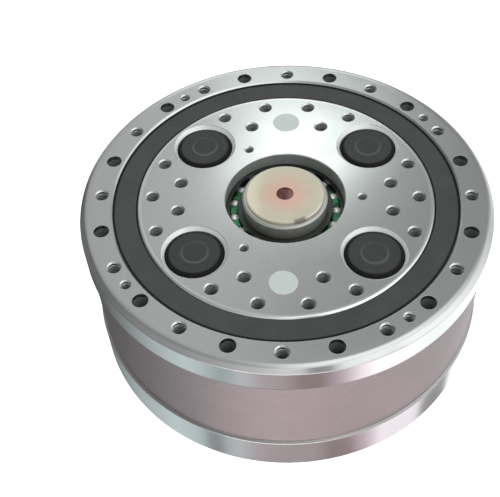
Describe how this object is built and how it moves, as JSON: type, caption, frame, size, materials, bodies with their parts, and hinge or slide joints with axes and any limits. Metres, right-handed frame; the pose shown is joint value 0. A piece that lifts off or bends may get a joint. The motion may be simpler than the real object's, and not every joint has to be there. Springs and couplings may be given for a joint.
{
  "type": "cycloidal reducer",
  "caption": "Cycloidal gear reducer: round case with bolt holes, sealed output flange with threaded holes, keyed hollow input shaft, and lobed discs turning inside a ring of pins.",
  "frame": {"origin": "on the case's axis, at the bottom of the case's input side face", "axes": "+Z along the axis, out of the output face; +Y through one dowel pin of the output flange"},
  "size_m": [0.24, 0.24, 0.1045],
  "materials": {
    "case_steel": "turned, with a raw waist",
    "flange_steel": "ground",
    "seal_rubber": "matt",
    "cap_rubber": "matt",
    "plug_plastic": "satin",
    "green_cage": "satin",
    "brass_cage": "satin",
    "disc_steel": "ground",
    "shaft_steel": "ground",
    "bolt_steel": "black oxide",
    "spring_steel": "satin",
    "bearing_steel": "polished"
  },
  "bodies": {
    "case": {"case": "case_steel", "ring_pins": "bearing_steel", "output_seal": "seal_rubber", "input_side_seal": "seal_rubber", "seal_springs": "spring_steel", "main_outer_race_upper": "bearing_steel", "main_outer_race_lower": "bearing_steel"},
    "input_shaft": {"input_shaft": "shaft_steel", "shaft_plug": "plug_plastic", "shaft_inner_ring_upper": "bearing_steel", "shaft_inner_ring_lower": "bearing_steel", "thrust_washer_lower": "shaft_steel", "thrust_washer_upper": "shaft_steel"},
    "output_carrier": {"output_flange": "flange_steel", "input_side_flange": "flange_steel", "clamp_bolts": "bolt_steel", "end_caps": "cap_rubber", "dowel_pins": "bearing_steel", "output_pins": "bearing_steel", "main_inner_race_upper": "bearing_steel", "main_inner_race_lower": "bearing_steel", "shaft_outer_ring_upper": "bearing_steel", "shaft_outer_ring_lower": "bearing_steel", "shaft_seal": "seal_rubber", "shaft_seal_spring": "spring_steel"},
    "disc_lower": {"cycloid_disc_lower": "disc_steel"},
    "disc_upper": {"cycloid_disc_upper": "disc_steel"},
    "eccentric_bearing_lower": {"eccentric_rollers_lower": "bearing_steel", "eccentric_cage_lower": "brass_cage"},
    "eccentric_bearing_upper": {"eccentric_rollers_upper": "bearing_steel", "eccentric_cage_upper": "brass_cage"},
    "shaft_bearing_upper": {"shaft_balls_upper": "bearing_steel", "shaft_cage_upper": "green_cage"},
    "shaft_bearing_lower": {"shaft_balls_lower": "bearing_steel", "shaft_cage_lower": "green_cage"},
    "main_bearing_upper": {"main_balls_upper": "bearing_steel", "main_cage_upper": "brass_cage"},
    "main_bearing_lower": {"main_balls_lower": "bearing_steel", "main_cage_lower": "brass_cage"},
    "output_roller_1": {"output_roller_1": "bearing_steel"},
    "output_roller_2": {"output_roller_2": "bearing_steel"},
    "output_roller_3": {"output_roller_3": "bearing_steel"},
    "output_roller_4": {"output_roller_4": "bearing_steel"},
    "output_roller_5": {"output_roller_5": "bearing_steel"},
    "output_roller_6": {"output_roller_6": "bearing_steel"},
    "output_roller_7": {"output_roller_7": "bearing_steel"},
    "output_roller_8": {"output_roller_8": "bearing_steel"}
  },
  "joints": [
    {"name": "input_spin", "type": "hinge", "parent": "case", "child": "input_shaft", "pos_m": [0, 0, 0.0515], "axis": [0, 0, 1], "continuous": true},
    {"name": "output_spin", "type": "hinge", "parent": "case", "child": "output_carrier", "pos_m": [0, 0, 0.0515], "axis": [0, 0, 1], "continuous": true},
    {"name": "disc_lower_spin", "type": "hinge", "parent": "input_shaft", "child": "disc_lower", "pos_m": [0.0015, 0, 0.0405], "axis": [0, 0, 1], "continuous": true},
    {"name": "disc_upper_spin", "type": "hinge", "parent": "input_shaft", "child": "disc_upper", "pos_m": [-0.0015, 0, 0.0625], "axis": [0, 0, 1], "continuous": true},
    {"name": "eccentric_bearing_lower_spin", "type": "hinge", "parent": "input_shaft", "child": "eccentric_bearing_lower", "pos_m": [0.0015, 0, 0.0405], "axis": [0, 0, 1], "continuous": true},
    {"name": "eccentric_bearing_upper_spin", "type": "hinge", "parent": "input_shaft", "child": "eccentric_bearing_upper", "pos_m": [-0.0015, 0, 0.0625], "axis": [0, 0, 1], "continuous": true},
    {"name": "shaft_bearing_upper_spin", "type": "hinge", "parent": "output_carrier", "child": "shaft_bearing_upper", "pos_m": [0, 0, 0.0875], "axis": [0, 0, 1], "continuous": true},
    {"name": "shaft_bearing_lower_spin", "type": "hinge", "parent": "output_carrier", "child": "shaft_bearing_lower", "pos_m": [0, 0, 0.0155], "axis": [0, 0, 1], "continuous": true},
    {"name": "main_bearing_upper_spin", "type": "hinge", "parent": "case", "child": "main_bearing_upper", "pos_m": [0, 0, 0.082], "axis": [0, 0, 1], "continuous": true},
    {"name": "main_bearing_lower_spin", "type": "hinge", "parent": "case", "child": "main_bearing_lower", "pos_m": [0, 0, 0.021], "axis": [0, 0, 1], "continuous": true},
    {"name": "output_roller_1_spin", "type": "hinge", "parent": "output_carrier", "child": "output_roller_1", "pos_m": [0.02603, 0.05847, 0.0515], "axis": [0, 0, 1], "continuous": true},
    {"name": "output_roller_2_spin", "type": "hinge", "parent": "output_carrier", "child": "output_roller_2", "pos_m": [0.0621, 0.01548, 0.0515], "axis": [0, 0, 1], "continuous": true},
    {"name": "output_roller_3_spin", "type": "hinge", "parent": "output_carrier", "child": "output_roller_3", "pos_m": [0.0621, -0.01548, 0.0515], "axis": [0, 0, 1], "continuous": true},
    {"name": "output_roller_4_spin", "type": "hinge", "parent": "output_carrier", "child": "output_roller_4", "pos_m": [0.02603, -0.05847, 0.0515], "axis": [0, 0, 1], "continuous": true},
    {"name": "output_roller_5_spin", "type": "hinge", "parent": "output_carrier", "child": "output_roller_5", "pos_m": [-0.02603, -0.05847, 0.0515], "axis": [0, 0, 1], "continuous": true},
    {"name": "output_roller_6_spin", "type": "hinge", "parent": "output_carrier", "child": "output_roller_6", "pos_m": [-0.0621, -0.01548, 0.0515], "axis": [0, 0, 1], "continuous": true},
    {"name": "output_roller_7_spin", "type": "hinge", "parent": "output_carrier", "child": "output_roller_7", "pos_m": [-0.0621, 0.01548, 0.0515], "axis": [0, 0, 1], "continuous": true},
    {"name": "output_roller_8_spin", "type": "hinge", "parent": "output_carrier", "child": "output_roller_8", "pos_m": [-0.02603, 0.05847, 0.0515], "axis": [0, 0, 1], "continuous": true}
  ],
  "couplings": [
    {"joint": "output_spin", "follows": "input_spin", "ratio": -0.025641},
    {"joint": "disc_lower_spin", "follows": "input_spin", "ratio": -1.0256},
    {"joint": "disc_upper_spin", "follows": "input_spin", "ratio": -1.0256},
    {"joint": "eccentric_bearing_lower_spin", "follows": "input_spin", "ratio": -0.5731},
    {"joint": "eccentric_bearing_upper_spin", "follows": "input_spin", "ratio": -0.5731},
    {"joint": "shaft_bearing_upper_spin", "follows": "input_spin", "ratio": 0.45397},
    {"joint": "shaft_bearing_lower_spin", "follows": "input_spin", "ratio": 0.45397},
    {"joint": "main_bearing_upper_spin", "follows": "input_spin", "ratio": -0.012128},
    {"joint": "main_bearing_lower_spin", "follows": "input_spin", "ratio": -0.012128},
    {"joint": "output_roller_1_spin", "follows": "input_spin", "ratio": -0.20513},
    {"joint": "output_roller_2_spin", "follows": "input_spin", "ratio": -0.20513},
    {"joint": "output_roller_3_spin", "follows": "input_spin", "ratio": -0.20513},
    {"joint": "output_roller_4_spin", "follows": "input_spin", "ratio": -0.20513},
    {"joint": "output_roller_5_spin", "follows": "input_spin", "ratio": -0.20513},
    {"joint": "output_roller_6_spin", "follows": "input_spin", "ratio": -0.20513},
    {"joint": "output_roller_7_spin", "follows": "input_spin", "ratio": -0.20513},
    {"joint": "output_roller_8_spin", "follows": "input_spin", "ratio": -0.20513}
  ]
}
